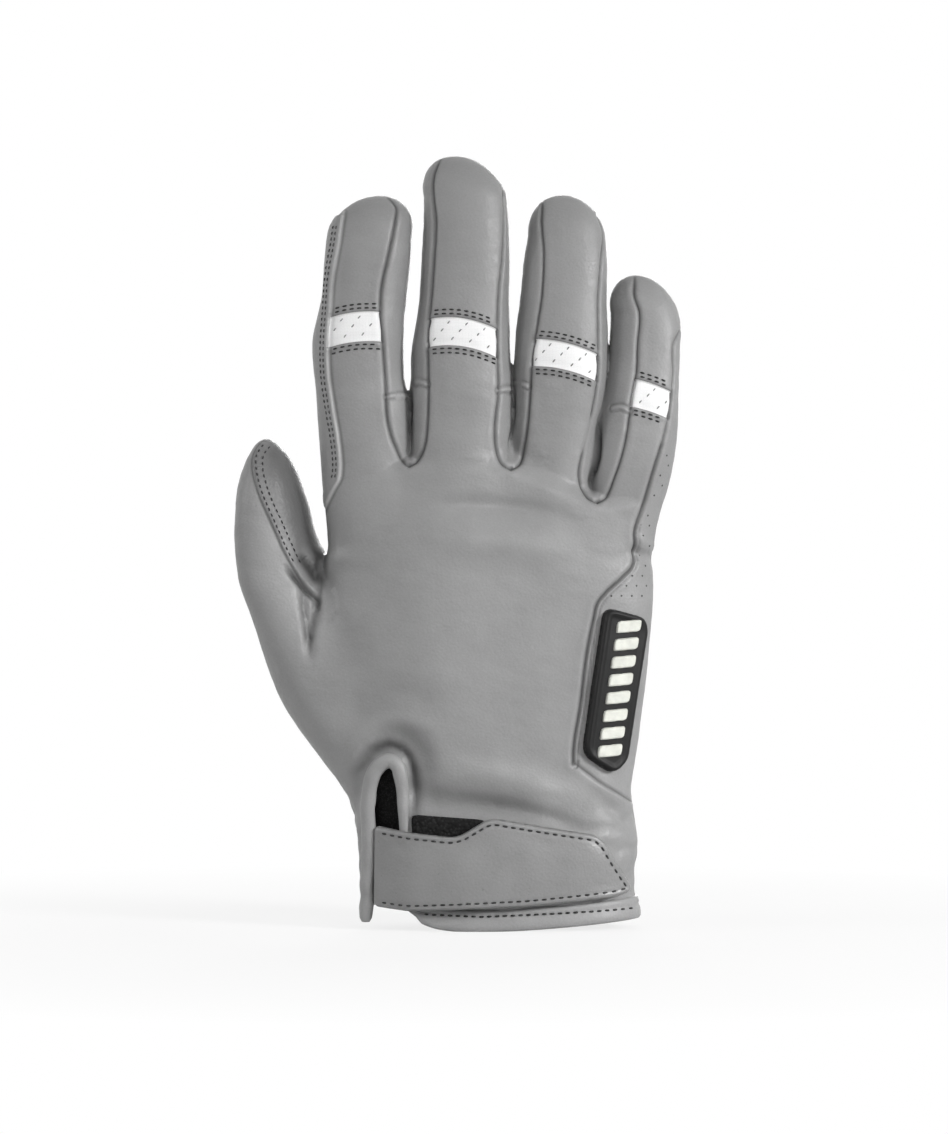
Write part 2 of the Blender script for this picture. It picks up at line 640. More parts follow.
# The skin's box and first pitch, and its finer edges: their length, and how near to a seam.
SKIN_LOW, SKIN_HIGH, SKIN_PITCH = (-74, -24, -5), (73, 22, 243), 1.15
FINER = ((0.62, 3.2), (0.34, 1.3))


def build_skin():
    """The plain skin, finer near its seams and cut along the edges of its panels."""
    points, quads = surface(skin_field, SKIN_LOW, SKIN_HIGH, SKIN_PITCH)
    points, _ = settle(skin_field, points, 2)
    tris = triangles(points, quads)
    for target, limit in FINER:
        _, normals = settle(skin_field, points, 0)
        flat, (x, y, z) = points[:, [0, 2]], points.T
        stretch = stretch_of(normals)
        near = np.full(len(points), FAR)
        for line in LINES.values():
            near = np.minimum(near, gap_to(flat, line, 3.0, stretch)[0])
        for name in NAMES:
            left, right, _, _ = LIMBS[name].at(z)
            for edge in band_edges(name, x):
                near = np.where((x > left) & (x < right), np.minimum(near, np.abs(z - edge)), near)
        palm_seam = gap_to(flat, dense(PALM[0][0]), 3.0, stretch)[0]
        near = np.where(y < middle_plane(x, z) + 1, near, palm_seam)

        def share(a, b):
            long = np.linalg.norm(points[a] - points[b], axis=1) > target * 1.35
            return np.where(long & (np.minimum(near[a], near[b]) < limit), 0.5, np.nan)

        points, tris = split(points, tris, share)
        points, _ = settle(skin_field, points, 1)
    parting = fields(points)
    table = np.column_stack([points] + list(parting.values()))
    for column in range(3, table.shape[1]):
        table, tris = cut_along(table, tris, table[:, column])
    return table[:, :3], tris, dict(zip(parting, table[tris].mean(1)[:, 3:].T))


def fold(flat, line, width):
    """A soft ridge of height 1 along a line, fading at both ends."""
    line = dense(line, max(1.0, 0.8 * width))
    gap, along = gap_to(flat, line, 2.6 * width)
    length = run_of(line)[-1]
    return bell(gap, width) * np.clip(np.minimum(along, length - along) / (0.3 * length), 0, 1)


# Folds and hollows of the back: line, height, width and, where a crease holds its own
# shade, darkness.
FOLDS = [
    ([(-38, 40), (-33, 52), (-24, 62), (-13, 64), (-4, 58)], 1.3, 3.2),
    ([(-40, 54), (-30, 68), (-18, 74), (-4, 70)], -0.7, 4.5),
    ([(-32, 30), (-31.6, 42), (-28.6, 51), (-23, 56)], -1.2, 1.8),
    ([(-8, 49), (6, 48.6), (22, 44.6), (38, 38.5)], 1.5, 4.2),
    ([(10, 39), (22, 36.6), (34, 33), (44, 30)], -0.9, 2.4),
    ([(42, 40), (49, 36), (55, 30)], -0.9, 1.7),
    ([(40, 47), (47, 42), (54, 38)], 0.6, 2.0),
    ([(46, 30), (52, 33), (56, 38)], -0.7, 1.5),
    ([(47, 22), (52, 25), (56, 24)], -0.7, 1.5),
    ([(52, 118.5), (56, 115.8), (61, 114.4)], -1.5, 1.5),
    ([(54, 122), (58, 119), (62, 118)], 0.6, 1.8),
    ([(-36.4, 118), (-40, 112.5), (-42.6, 105), (-42, 98)], 0.9, 1.8),
    ([(-44, 84), (-40, 90), (-34, 98), (-28, 104)], 0.5, 5.0),
    ([(-12, 130.4), (2, 131), (18, 130.4), (38, 126)], -1.5, 2.6),
    ([(-12, 119), (4, 119.8), (18, 119), (38, 114)], 1.6, 6.0),
    ([(-8, 154), (-8, 118), (-8, 92), (-6, 62), (-3, 44)], 2.6, 16.0),
    ([(1, 146.4), (5, 145.4), (9, 145.8)], 0.25, 0.9),
    ([(20, 144.4), (24, 143.6), (28, 144.6)], 0.3, 0.9),
    ([(23, 147.6), (27, 146.4), (31, 147)], 0.25, 0.9),
    ([(32, 129), (37, 127.6), (43, 128)], 0.25, 1.0),
    ([(-40, 74), (-30, 66), (-24, 60)], -0.6, 5.0),
    ([(-34, 100), (-24, 84), (-16, 72)], 0.5, 7.0),
    ([(2, 158), (4, 150), (5, 140)], 0.5, 6.0),
    ([(30, 152), (30, 144), (29, 134)], 0.5, 6.0),
    ([(-30, 156), (-28, 146), (-26, 138)], 0.4, 6.0),
    ([(-15, 141), (-15, 134), (-14, 126)], -0.5, 5.0),
    ([(16.5, 140), (16, 133), (15, 124)], -0.5, 5.0),
    ([(-14.9, 170), (-15, 164), (-15.1, 154), (-15, 147), (-15, 143.6)], -1.0, 0.55, 1.1),
    ([(17.3, 170), (17.1, 163), (16.8, 157), (15.9, 151.4), (15.2, 146.6), (15, 144)], -0.8, 0.5, 0.8),
    ([(43.6, 160), (43.2, 151.4), (42.8, 146), (41.6, 141.4), (40.8, 139), (41.3, 135), (41.6, 133.4)],
     -1.4, 0.85, 1.25),
    ([(-48.6, 108), (-47.8, 101), (-47, 94), (-46.5, 87), (-46.4, 82)], -1.2, 1.3, 0.8),
    ([(-42.8, 108), (-44, 101), (-45.2, 94), (-46.2, 87), (-46.4, 82)], -1.1, 1.3, 0.75),
    ([(-51, 119), (-47.6, 113.6), (-45, 109.8), (-42.9, 106.4), (-41.5, 104)], -1.0, 2.4, 1.3),
    ([(-54.4, 113), (-50, 107.6), (-46, 103.4), (-42, 99.6)], -1.3, 0.9, 1.15),
    ([(-33, 46), (-30.4, 51), (-26, 55.6), (-21, 56.8), (-16.4, 54.4), (-14.4, 49), (-14, 42), (-14.2, 32)],
     -2.2, 1.7, 0.85),
    ([(-26, 62), (-17, 60.6), (-11.6, 55), (-10.4, 47), (-10.6, 40)], -1.0, 3.4, 0.4),
    ([(-22, 44), (-13, 42), (-4, 40.6), (6, 39.6), (16, 37.6), (26, 34.6)], -1.7, 3.2, 0.5),
]
# The same on the palm side: the thumb's seam, then soft creases.
PALM = [
    ([(-46, 126), (-41, 117), (-33, 103), (-25.5, 88), (-22, 70), (-24, 53), (-31, 38), (-38, 24)],
     -0.8, 0.7, 0.9),
    ([(-34, 126), (-16, 121), (12, 120), (44, 124)], -0.9, 2.2, 0.2),
    ([(-36, 116), (-20, 107), (0, 103), (26, 106)], -0.8, 2.4, 0.15),
    ([(-12, 56), (-4, 74), (-6, 94)], -0.6, 3.0, 0.1),
    ([(-22, 34), (6, 30), (34, 33)], -0.7, 2.0, 0.1),
    ([(4, 24), (26, 21.6), (50, 25)], -0.6, 1.8, 0.1),
]
for name in NAMES:
    for z in (hinge(name + "_middle_joint")[2] - 1, hinge(name + "_knuckle")[2] + 8):
        left, right = LIMBS[name].at(z)[:2]
        PALM.append(([(left - 6, z), ((left + right) / 2, z + 1.2), (right + 6, z)], -0.8, 1.4, 0.2))
# Short cross seams on the strips between the fingers.
CROSS = [
    [(-22.1, 164.4), (-19, 165), (-15.9, 164.9)], [(-13.9, 168.9), (-12, 169), (-9.9, 168.3)],
    [(17, 168.9), (19, 168.7), (21.2, 167.7)], [(12.2, 166.3), (14, 166.8), (16, 167)],
    [(47.4, 160.9), (50, 161.3), (52.6, 160)],
]
# Heights over the plain skin: of the thumb's patch and the index strip; of seams, and of the
# seam at the side panel's foot; of a flex band, its arch and the leather round it; and the
# lowest that folds reach together.
PATCH_HIGH, STRIP_HIGH, SEAM_DEEP, FOOT_DEEP = 0.45, 0.55, 0.65, 0.45
BAND_SUNK, BAND_ARCH, BAND_EDGE = 0.6, 0.35, 0.22
DEEPEST = -3.2


def relief(p, normals):
    """Height of seams, overlays, folds and slack over the plain skin, with how dark and
    how pale each point is for it."""
    flat, (x, y, z) = p[:, [0, 2]], p.T
    stretch = stretch_of(normals)
    front = ramp(middle_plane(x, z) + 0.5 - y, 0, 1.0)
    height, dark, pale = np.zeros((3, len(p)))

    def mark(marks, value, where=front):
        np.maximum(marks, where * value, out=marks)

    for key, line in LINES.items():
        gap, _ = gap_to(flat, line, SEAM_REACH, stretch)
        if key == "thumb_patch":
            side = x - seam_at("thumb", "patch", z)
            on_patch = (side > 0) & (z > PATCH_FOOT) & (x < gap_at(z))
            raised = np.where(gap < SEAM_REACH, ramp(side, -0.3, 0.3), on_patch)
            height += PATCH_HIGH * front * ramp(-z, -151, -145) * raised
            mark(dark, 0.85 * bell(side + 0.3, 0.42) * (gap < 3))
            patch = ramp(side, -0.2, 0.3) * ramp(z, PATCH_FOOT, PATCH_FOOT + 4) * ramp(gap_at(z) - x, -1.4, 0.8)
            mark(dark, patch * (0.45 + 0.35 * ramp(side, 1.5, 6)))
            continue
        if key == "index_left":
            side = seam_at("index", "left", z) - x
            strip = (x < -20) & (x > gap_at(z)) & (z < 221)
            height += front * STRIP_HIGH * ramp(side, -0.2, 0.35) * strip * ramp(z, 128, 133)
            mark(pale, bell(side + 0.1, 0.42) * (gap < 2))
            mark(dark, 0.6 * bell(side + 0.95, 0.45) * (gap < 3))
            continue
        deep = FOOT_DEEP if key == "side_foot" else SEAM_DEEP
        if key == "little_right":
            deep = np.where(z > 150, 0.5, 0.75)
        if key == "ring_right":  # a fold lies over it at these heights
            deep = deep * (1 - 0.8 * ramp(z, 146, 149) * ramp(-z, -160, -156))
        tip = FINGERS.get(key.split("_")[0], {"tip": (0, 999)})["tip"][1]
        seam = deep * (0.25 * bell(gap - 1.8, 1.1) - bell(gap, 0.6))
        height += front * seam * (1 - 0.85 * ramp(z, tip - 5, tip - 1))
        mark(dark, np.minimum(1.5 * deep, 0.95) * bell(gap, 0.46))
    second = np.abs(gap_to(flat, LINES["little_right"], SEAM_REACH, stretch)[0] - 1.5)
    beside = (x > seam_at("little", "right", z)) & (z < 125) & (z > 46)
    height -= front * beside * 0.3 * bell(second, 0.4)
    mark(dark, beside * 0.45 * bell(second, 0.35))
    for name in NAMES:
        top, bottom = band_edges(name, x)
        between = (x > seam_at(name, "left", z) - 0.2) & (x < seam_at(name, "right", z) + 0.2)
        near = between * front * (np.abs(z - (top + bottom) / 2) < 9)
        depth = np.minimum(top - z, z - bottom)
        sunk = BAND_ARCH * ramp(depth, 0.4, 3.5) - BAND_SUNK * ramp(depth, -0.15, 0.25)
        height += near * (sunk + BAND_EDGE * bell(depth + 0.9, 0.7))
        mark(dark, 0.75 * bell(depth - 0.05, 0.22), near)
    for line in CROSS:
        gap, _ = gap_to(flat, dense(line), 4.0, stretch)
        height += front * (0.3 * bell(gap, 0.5) - 0.25 * bell(gap - 1.1, 0.4))
        mark(pale, 0.4 * bell(gap, 0.4))
        mark(dark, 0.4 * bell(gap - 1.1, 0.35))
    for where, table in ((front, FOLDS), (1 - front, PALM)):
        for line, size, width, *shade in table:
            form = fold(flat, line, width)
            height += where * size * form
            if shade:
                mark(dark, shade[0] * form, where)
    slack = 0.16 * waves(p, 24, 3) * (1 - 0.75 * ramp(-x, 42, 48) * ramp(z, 105, 115))
    slack += 0.035 * waves(p * (1, 1, 1.6), 7, 4)
    slack += ramp(-z, -58, -30) * 0.2 * waves(p * (0.6, 1, 2.2), 11, 5)
    return np.maximum(height, DEEPEST) + slack, dark, pale


def row(points):
    return (np.asarray(points) + SHIFT) / 1000


def make(name, points, faces, material, slot, zone, stands_for=(), normals=None, **marks):
    """A mesh piece from points in the drawing frame, tied to its part of the frame."""
    mesh = bpy.data.meshes.new(name)
    mesh.from_pydata(row(points).tolist(), [], faces.tolist(), shade_flat=False)
    mesh.validate()
    rest = mesh.attributes.new("rest", "FLOAT_VECTOR", "POINT")
    rest.data.foreach_set("vector", points.astype(np.float32).ravel())
    for key, value in marks.items():
        mesh.attributes.new(key, "FLOAT", "POINT").data.foreach_set("value", value.astype(np.float32))
    if normals is not None:
        mesh.normals_split_custom_set_from_vertices(normals.tolist())
    mesh.materials.append(material)
    obj = bpy.data.objects.new(name, mesh)
    bpy.context.collection.objects.link(obj)
    if isinstance(ZONES[zone], str):
        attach(obj, ZONES[zone])
    else:
        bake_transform(obj)
    if stands_for:
        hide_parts(*stands_for)


# What a piece rides on, or the bodies that it blends between and where.
ZONES = {"hand": "hand", "strap": "strap"}
for name in NAMES:
    knuckle, joint = JOINTS[name + "_knuckle"], JOINTS[name + "_middle_joint"]
    axis = unit(joint - knuckle) / 1000
    low, high, _ = FINGERS[name]["fold"]
    ZONES[name + "_root"] = ("hand", name + "_base", knuckle - axis * low, knuckle + axis * low)
    ZONES[name + "_end"] = (name + "_base", name + "_tip", joint - axis * high, joint + axis * high)
bend = JOINTS["thumb_bend"]
ZONES["thumb"] = ("hand", "thumb_tip", bend + (0, 0, -0.0035), bend + (0, 0, 0.016))
ZONES["strap_end"] = ("hand", "strap", row((-23.5, 0, 19)), row((-8, 0, 19)))


class Nodes:
    """A node tree, with short ways to add and wire its nodes."""

    def __init__(self, tree):
        self.tree = tree

    def fill(self, node, **values):
        """Sets or wires a node's inputs, each by its name or as i and its number."""
        for key, value in values.items():
            socket = node.inputs[int(key[1:]) if key[1:].isdigit() else key.replace("_", " ")]
            if hasattr(value, "is_linked"):
                self.tree.links.new(value, socket)
            else:
                socket.default_value = value
        return node

    def add(self, kind, settings=None, **values):
        node = self.tree.nodes.new("ShaderNode" + kind)
        for key, value in (settings or {}).items():
            setattr(node, key, value)
        return self.fill(node, **values)

    def math(self, kind, a, b):
        return self.add("Math", {"operation": kind}, i0=a, i1=b).outputs[0]

    def show(self, output, share, a, b):
        """Mixes two shaders into the tree's output."""
        both = self.add("MixShader", i0=share, i1=a.outputs[0], i2=b.outputs[0])
        self.fill(self.tree.nodes[output], Surface=both.outputs[0])


class Paint(Nodes):
    """A material, with patterns that follow the piece at rest."""

    def __init__(self, name, **values):
        self.material = bpy.data.materials.new(name)
        self.material.use_nodes = True
        super().__init__(self.material.node_tree)
        self.shader = self.fill(self.tree.nodes["Principled BSDF"], **values)

    def done(self, colour, rough, normal):
        self.fill(self.shader, Base_Color=colour, Roughness=rough, Normal=normal)
        return self.material

    def mark(self, name, output="Fac"):
        return self.add("Attribute", {"attribute_name": name}).outputs[output]

    def noise(self, scale, detail=3.0):
        place = self.mark("rest", "Vector")
        return self.add("TexNoise", Vector=place, Scale=scale, Detail=detail, Roughness=0.55).outputs["Fac"]

    def cells(self, scale, feature="F1"):
        place = self.mark("rest", "Vector")
        return self.add("TexVoronoi", {"feature": feature}, Vector=place, Scale=scale).outputs["Distance"]

    def span(self, value, low, high, a=0, b=1):
        limits = {"From_Min": low, "From_Max": high, "To_Min": a, "To_Max": b}
        return self.add("MapRange", Value=value, **limits).outputs["Result"]

    def mix(self, share, a, b):
        return self.add("Mix", {"data_type": "RGBA"}, i0=share, i6=a, i7=b).outputs[2]

    def bump(self, height, distance, strength, **under):
        return self.add("Bump", Height=height, Distance=distance, Strength=strength, **under).outputs["Normal"]


def grey(level):
    return (level, level, level, 1)


def leather(name, level, marked=True, rough=(0.38, 0.54), gloss=0.42):
    """Smooth grained leather, darker in the seams and paler on raw edges."""
    p = Paint(name, Specular_IOR_Level=gloss)
    tone = p.mix(p.span(p.noise(0.07, 4.0), 0.3, 0.7), grey(level * 0.93), grey(level * 1.06))
    fleck, pore = p.span(p.noise(1.9, 2.0), 0.42, 0.68), p.span(p.cells(1.15), 0.0, 0.32, 1, 0)
    layers = [(fleck, 0.16, level * 1.35), (pore, 0.14, level * 0.55)]
    if marked:
        layers += [(p.mark("dark"), 0.8, 0.028), (p.mark("pale"), 0.75, 0.5)]
    for share, most, shade in layers:
        tone = p.mix(p.math("MULTIPLY", share, most), tone, grey(shade))
    grain = p.bump(p.cells(1.25, "SMOOTH_F1"), 0.0001, 0.6)
    grain = p.bump(p.noise(3.4, 2.0), 0.00003, 0.5, Normal=grain)
    grain = p.bump(p.noise(0.22), 0.0003, 0.35, Normal=grain)
    return p.done(tone, p.span(p.noise(0.9, 4.0), 0.3, 0.7, *rough), grain)


def knit(name, level, scale, specular, depth):
    """Woven or napped cloth, or thread."""
    p = Paint(name, Specular_IOR_Level=specular)
    weave = p.cells(scale)
    tone = p.mix(p.span(weave, 0.1, 0.5), grey(level * 1.9), grey(level * 0.6))
    return p.done(tone, p.span(p.noise(0.8), 0.3, 0.7, 0.7, 0.95), p.bump(weave, depth, 0.9))


def white_band():
    p = Paint("white_mesh", Specular_IOR_Level=0.3)
    turned = p.add("Mapping", Vector=p.mark("rest", "Vector"), Rotation=(math.radians(90), 0, 0)).outputs[0]
    flat = {"voronoi_dimensions": "2D"}
    weave = p.add("TexVoronoi", flat, Vector=turned, Scale=2.2, Randomness=0.25).outputs["Distance"]
    tone = p.mix(p.span(weave, 0.1, 0.6), grey(0.94), grey(0.84))
    tone = p.mix(p.math("MULTIPLY", p.mark("dark"), 0.35), tone, grey(0.3))
    return p.done(tone, p.span(p.noise(0.9), 0.3, 0.7, 0.55, 0.75), p.bump(weave, 0.0001, 0.4))


def rubber(name, colour, low, high):
    p = Paint(name, Specular_IOR_Level=0.25)
    tone = p.mix(p.span(p.noise(0.35, 4.0), 0.35, 0.7), (*colour, 1), (*(c * 0.8 for c in colour), 1))
    return p.done(tone, p.span(p.noise(1.4), 0.3, 0.7, low, high), p.bump(p.noise(4.0, 2.0), 0.00003, 0.6))


LEATHER = leather("grey_leather", 0.262)
STRAP_LEATHER = leather("strap_leather", 0.23, False, (0.27, 0.42), 0.5)
ROLL_LEATHER = leather("roll_leather", 0.285, False)
LOOP_CLOTH = knit("loop_cloth", 0.012, 1.0, 0.2, 0.0005)
LINING_CLOTH = knit("lining_cloth", 0.016, 1.6, 0.15, 0.0002)
BAND = white_band()
BLACK_RUBBER = rubber("black_rubber", (0.009, 0.009, 0.009), 0.42, 0.58)
PALE_RUBBER = rubber("pale_rubber", (0.72, 0.73, 0.67), 0.45, 0.6)
THREAD = knit("thread", 0.06, 3.0, 0.2, 0.0001)
FINE_THREAD = knit("fine_thread", 0.1, 3.0, 0.2, 0.0001)
HOLE = knit("hole", 0.1, 3.0, 0.05, 0.0001)
SLIT = knit("slit", 0.36, 3.0, 0.05, 0.0001)

# The skin, as panels that meet at the seams and at the folds.
points, tris, value = build_skin()
points, normals = settle(skin_field, points, 0)
height, dark, pale = relief(points, normals)
skin = points + normals * height[:, None]
keep = (value["rim"] > 0) & (value["vent"] > 0)
tris, value = tris[keep], {key: v[keep] for key, v in value.items()}
centres = points[tris].mean(1)
a, b, c = (skin[tris[:, k]] for k in range(3))
skin_normals = np.zeros_like(skin)
np.add.at(skin_normals, tris, np.cross(b - a, c - a)[:, None])
skin_normals /= np.maximum(np.linalg.norm(skin_normals, axis=1), 1e-12)[:, None]
back, at_edge, on_thumb = (value[key] > 0 for key in ("back", "side", "thumb"))
sector = sum((value["divide_" + a] > 0).astype(int) for a in GUSSETS)
gusset = np.any([value["gusset_" + a] > 0 for a in GUSSETS], axis=0)
piece = np.where(at_edge, "side_panel", np.where(back, "back_panel", "palm_panel")).astype(object)
panels = {name: ([name], "hand") for name in ("palm_panel", "back_panel", "side_panel")}
for n, name in enumerate(NAMES):
    own = (sector == n) & (centres[:, 2] > 100) & (value["root_" + name] > 0)
    if name == "index":
        own &= ~on_thumb
    far = own & (value["change_" + name] > 0)
    near = own & ~far
    at_side = gusset | {"index": value["strip"] > 0, "little": at_edge}.get(name, False)
    left, right, _, _ = LIMBS[name].at(centres[:, 2])
    inner = at_side & (centres[:, 0] < (left + right) / 2)
    outer, on_back, on_palm = at_side & ~inner, back & ~at_side, ~back & ~at_side
    band = far & on_back & (value["band_" + name] > 0)
    above = centres[:, 2] > band_edges(name, centres[:, 0])[0]
    for mask, suffix, nodes, zone in (
        (near & on_back, "_base_back", ["_base_back", "_knuckle_fold"], "_root"),
        (near & on_palm, "_base_palm", ["_base_wall"], "_root"),
        (near & inner, "_base_gusset_inner", [], "_root"),
        (near & outer, "_base_gusset_outer", [], "_root"),
        (far & on_back & ~band & above, "_tip_back", ["_tip_back"], "_end"),
        (far & on_back & ~band & ~above, "_middle_back", [], "_end"),
        (far & on_palm, "_tip_palm", ["_tip_palm", "_flex_fold"], "_end"),
        (far & inner, "_tip_gusset_inner", ["_tip_gusset_inner"], "_end"),
        (far & outer, "_tip_gusset_outer", ["_tip_gusset_outer"], "_end"),
        (band, "_flex_band", ["_flex_band"], "_end"),
    ):
        piece[mask] = name + suffix
        panels[name + suffix] = [name + node for node in nodes], name + zone
base = ~on_thumb & ~at_edge & (centres[:, 2] < 112) & (centres[:, 0] < -20)
base &= thumb.field(*centres.T) < hand.field(*centres.T)
for mask, name, nodes, zone in (
    (on_thumb & back & (value["patch"] > 0), "thumb_patch", ["thumb_patch"], "thumb"),
    (on_thumb & back & (value["patch"] <= 0), "thumb_tip_back", ["thumb_tip_back"], "thumb"),
    (on_thumb & ~back, "thumb_tip_palm", ["thumb_tip_palm", "thumb_fold"], "thumb"),
    (base, "thumb_base", ["thumb_base"], "hand"),
):
    piece[mask] = name
    panels[name] = nodes, zone
for name in sorted(set(piece)):
    faces, p, n, darks, pales = used_only(tris[piece == name], skin, skin_normals, dark, pale)
    nodes, zone = panels[name]
    looks = (BAND, "white_mesh") if name.endswith("_flex_band") else (LEATHER, "grey_leather")
    make(name, p, faces, *looks, zone, nodes, n, dark=darks, pale=pales)


def on_hand(x, z, lift=0.0):
    """Point and outward normal on the back of the hand at (across, height)."""
    left, right, deep, _ = hand.at(z)
    half, across = (right - left) / 2, x - (left + right) / 2
    u = np.clip(np.abs(across) / half, 0, 0.995)
    p = np.column_stack([x, -deep * (1 - u**FULLNESS) ** (1 / FULLNESS), z])
    n = unit(gradient(hand.field, p))
    return p + n * np.asarray(lift).reshape(-1, 1), n


def skin_at(flat):
    """Points and normals on the finished back of the glove, seen from the front."""
    x, z = flat.T
    low, high = np.full(len(x), -30.0), middle_plane(x, z)
    for _ in range(26):
        mid = (low + high) / 2
        outside = skin_field(x, mid, z) > 0
        low, high = np.where(outside, mid, low), np.where(outside, high, mid)
    p, n = settle(skin_field, np.column_stack([x, high, z]), 0)
    return p + n * relief(p, n)[0][:, None], n


def net(rows, around, closed):
    """Four-sided faces over a grid of points, row by row."""
    i, j = np.meshgrid(np.arange(rows - 1), np.arange(around if closed else around - 1), indexing="ij")
    a, b = (i * around + j).ravel(), (i * around + (j + 1) % around).ravel()
    return np.stack([a, b, b + around, a + around], 1)


def fan(count):
    """Triangles from the point after a ring to the ring."""
    k = np.arange(count)
    return np.stack([0 * k + count, k, (k + 1) % count], 1)


def spokes(count, side, up):
    """Circles of radius 1, one for each pair of directions."""
    turn = np.arange(count)[:, None] * 2 * math.pi / count
    return np.cos(turn) * side[:, None] + np.sin(turn) * up[:, None]


def oval(left, right, deep, angle):
    """A section's rounded outline: across and depth at each angle."""
    c, s = np.cos(angle), np.sin(angle)
    x = (left + right) / 2 + (right - left) / 2 * np.sign(c) * np.abs(c) ** (2 / FULLNESS)
    return x, -deep * np.sign(s) * np.abs(s) ** (2 / FULLNESS)


def slab(outline, pitch, low, thick, edge, crown=None):
    """A sheet of some thickness with a rolled edge, laid over the hand."""
    xs, zs = (np.arange(a, b + pitch, pitch) for a, b in zip(outline.min(0) - pitch, outline.max(0) + pitch))
    flat = np.array([(a, b, 0) for a in xs for b in zs])
    part = triangles(flat, net(len(xs), len(zs), False)[:, [0, 3, 2, 1]])
    flat, part = cut_along(flat, part, inside_of(flat[:, :2], outline))
    part, flat = used_only(part[inside_of(flat[part].mean(1)[:, :2], outline) > 0], flat[:, :2])
    inset = np.clip(inside_of(flat, outline), 0, None)
    lift = thick * np.sqrt(np.clip(1 - (1 - np.clip(inset / edge, 0, 1)) ** 2, 0, 1))
    if crown is not None:
        lift = lift + crown(flat, inset)
    floor = low(flat[:, 0]) if callable(low) else low
    top, under = (on_hand(*flat.T, level)[0] for level in (floor + lift, floor))
    rim = inset < 1e-3
    below = np.where(rim, np.arange(len(flat)), len(flat) + np.cumsum(~rim) - 1)
    return np.vstack([top, under[~rim]]), np.vstack([part, below[part][:, ::-1]])


def tube(path, radius, sides, squash, normal):
    """A flattened tube along a path, closed at both ends."""
    way = unit(np.gradient(path, axis=0))
    up = unit(normal - (normal * way).sum(1)[:, None] * way)
    rings = path[:, None] + spokes(sides, np.cross(way, up), up * squash) * radius[:, None, None]
    points = np.vstack([rings.reshape(-1, 3), path[[0, -1]]])
    wall, foot = net(len(path), sides, True), fan(sides)
    head = foot[:, [0, 2, 1]] + (len(points) - 1 - sides, len(points) - 2 - sides, len(points) - 2 - sides)
    foot = foot + (len(points) - 2 - sides, 0, 0)
    return points, np.vstack([wall[:, [0, 3, 1]], wall[:, [1, 3, 2]], foot, head])


# A stitch, from end to end: share of its half length, share of its girth, and height.
STITCH = np.array([
    (-1, 0.15, -0.16), (-0.86, 0.7, -0.02), (-0.4, 1, 0.06), (0, 1, 0.08), (0.4, 1, 0.06), (0.86, 0.7, -0.02),
    (1, 0.15, -0.16),
])
STITCH_SIDES = 7


def thread_mesh(rows, place, length=1.5, width=0.27, sink=0.05):
    """Short thread stitches lying along rows, each a line and a pitch, on a surface."""
    spots, ways = [], []
    for line, pitch in rows:
        at = np.arange(0.5 * pitch, run_of(line)[-1] - 0.3 * pitch, pitch)
        spots.append(walk(line, at))
        ways.append(walk(line, at + 0.4) - walk(line, at - 0.4))
    spots, step = np.vstack(spots), 0.3 * unit(np.vstack(ways))
    middles, n = place(spots)
    run = unit(place(spots + step)[0] - place(spots - step)[0])
    share, girth, lift = STITCH.T[:, :, None]
    core = middles[:, None] + run[:, None] * share * length / 2 + n[:, None] * (lift - sink + width * 0.55)
    rings = spokes(STITCH_SIDES, np.cross(n, run), n)[:, None] * (girth * width)[:, None]
    faces = net(len(STITCH), STITCH_SIDES, True)
    faces = faces + (np.arange(len(spots)) * len(STITCH) * STITCH_SIDES)[:, None, None]
    return (core[:, :, None] + rings).reshape(-1, 3), faces.reshape(-1, 4)


def stitch(name, rows, zone, place=skin_at, material=THREAD, **how):
    make(name, *thread_mesh(rows, place, **how), material, "grey_leather", zone)


change = {n: hinge(n + "_knuckle")[2] + FINGERS[n]["fold"][2] for n in NAMES}
root = {n: hinge(n + "_knuckle")[2] - FINGERS[n]["fold"][0] for n in NAMES}

# Inner sleeves, which close the fingers' sides where neighbours part.
SLEEVE_SIDES, SLEEVE_STEP = 36, 1.5
SLEEVES = [(name, "_sleeve", root[name] - 3, change[name] + 6, 2.0, "_root") for name in NAMES]
SLEEVES += [
    (name, "_tip_sleeve", change[name] - 3, top, 1.5, "_end")
    for name, top in (("middle", 179), ("ring", 186), ("little", 186))
]
for name, suffix, low, high, inset, zone in SLEEVES:
    levels = np.arange(low, high, SLEEVE_STEP)[:, None]
    left, right, deep, middle = LIMBS[name].at(levels)
    turn = np.arange(SLEEVE_SIDES) * 2 * math.pi / SLEEVE_SIDES
    x, y = oval(left + inset, right - inset, deep - inset, turn)
    p = np.stack([x, y + middle, levels + 0 * x], axis=2).reshape(-1, 3)
    faces = net(len(levels), SLEEVE_SIDES, True)[:, ::-1]
    make(name + suffix, p, faces, ROLL_LEATHER, "grey_leather", name + zone)

# Two rows of stitches above and two below each flex band, at these distances.
BAND_ROWS, BAND_PITCH = np.array([1.0, 2.3]), 2.3
for name in NAMES:
    centre = FINGERS[name]["band"][0]
    xs = np.linspace(centre - 12, centre + 12, 49)
    top, bottom = band_edges(name, xs)
    rows = []
    for z in (*(top + BAND_ROWS[:, None]), *(bottom - BAND_ROWS[:, None])):
        ok = (xs > seam_at(name, "left", z) + 0.7) & (xs < seam_at(name, "right", z) - 0.7)
        rows.append((np.column_stack([xs, z])[ok], BAND_PITCH))
    stitch(name + "_band_stitches", rows, name + "_end", length=1.45)


def rows_beside(line, gaps, low, high, pitch):
    """Rows of stitches beside a line, between two heights."""
    lines = [offset(line, gap) for gap in gaps]
    return [(one[(one[:, 1] >= low) & (one[:, 1] <= high)], pitch) for one in lines]


